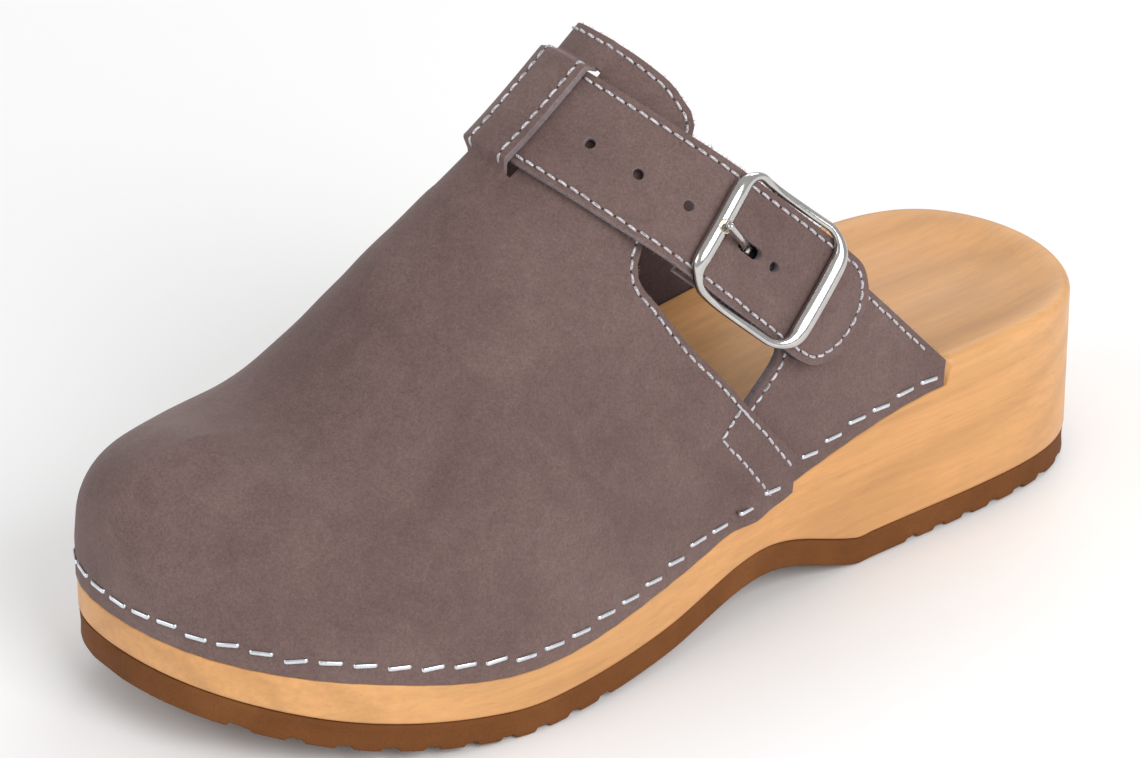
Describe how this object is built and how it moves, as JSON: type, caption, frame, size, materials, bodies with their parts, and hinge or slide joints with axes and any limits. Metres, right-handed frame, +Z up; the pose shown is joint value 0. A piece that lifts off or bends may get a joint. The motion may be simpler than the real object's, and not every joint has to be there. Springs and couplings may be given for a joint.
{
  "type": "wooden clog",
  "caption": "Closed-toe slip-on clog: wooden base on a rubber outsole, stapled nubuck upper with an adjustable instep strap, a buckle and a hook-and-loop closure.",
  "frame": {"origin": "on the floor under the middle of the outsole", "axes": "+X to the outer (buckle) side of the left foot, +Y from toe to heel, +Z up"},
  "size_m": [0.1026, 0.2651, 0.136],
  "materials": {
    "alder_wood": "satin clear-lacquered alder",
    "brown_rubber": "matt moulded rubber",
    "nubuck": "matt napped nubuck, grey-brown",
    "hook_tape": "black woven hook tape",
    "loop_tape": "black brushed loop tape",
    "nickel": "polished nickel plating",
    "staple_steel": "bright zinc-plated wire"
  },
  "bodies": {
    "base": {"wooden_sole": "alder_wood", "rubber_outsole": "brown_rubber", "vamp": "nubuck", "quarter_lateral": "nubuck", "quarter_medial": "nubuck", "strap_anchor": "nubuck", "hook_pad": "hook_tape", "vamp_staples": "staple_steel", "quarter_staples_lateral": "staple_steel", "quarter_staples_medial": "staple_steel"},
    "strap": {"strap_end": "nubuck", "loop_pad": "loop_tape", "buckle_frame": "nickel", "pivot_bar": "nickel"},
    "prong": {"prong": "nickel"}
  },
  "joints": [
    {"name": "strap_lift", "type": "hinge", "parent": "base", "child": "strap", "pos_m": [0.00273, -0.0167, 0.12104], "axis": [0.0513, -0.7979, -0.6007], "range_deg": [0, 70]},
    {"name": "prong_swing", "type": "hinge", "parent": "strap", "child": "prong", "pos_m": [0.03472, 0.0115, 0.0937], "axis": [-0.1282, 0.7227, 0.6792], "range_deg": [0, 60]}
  ]
}
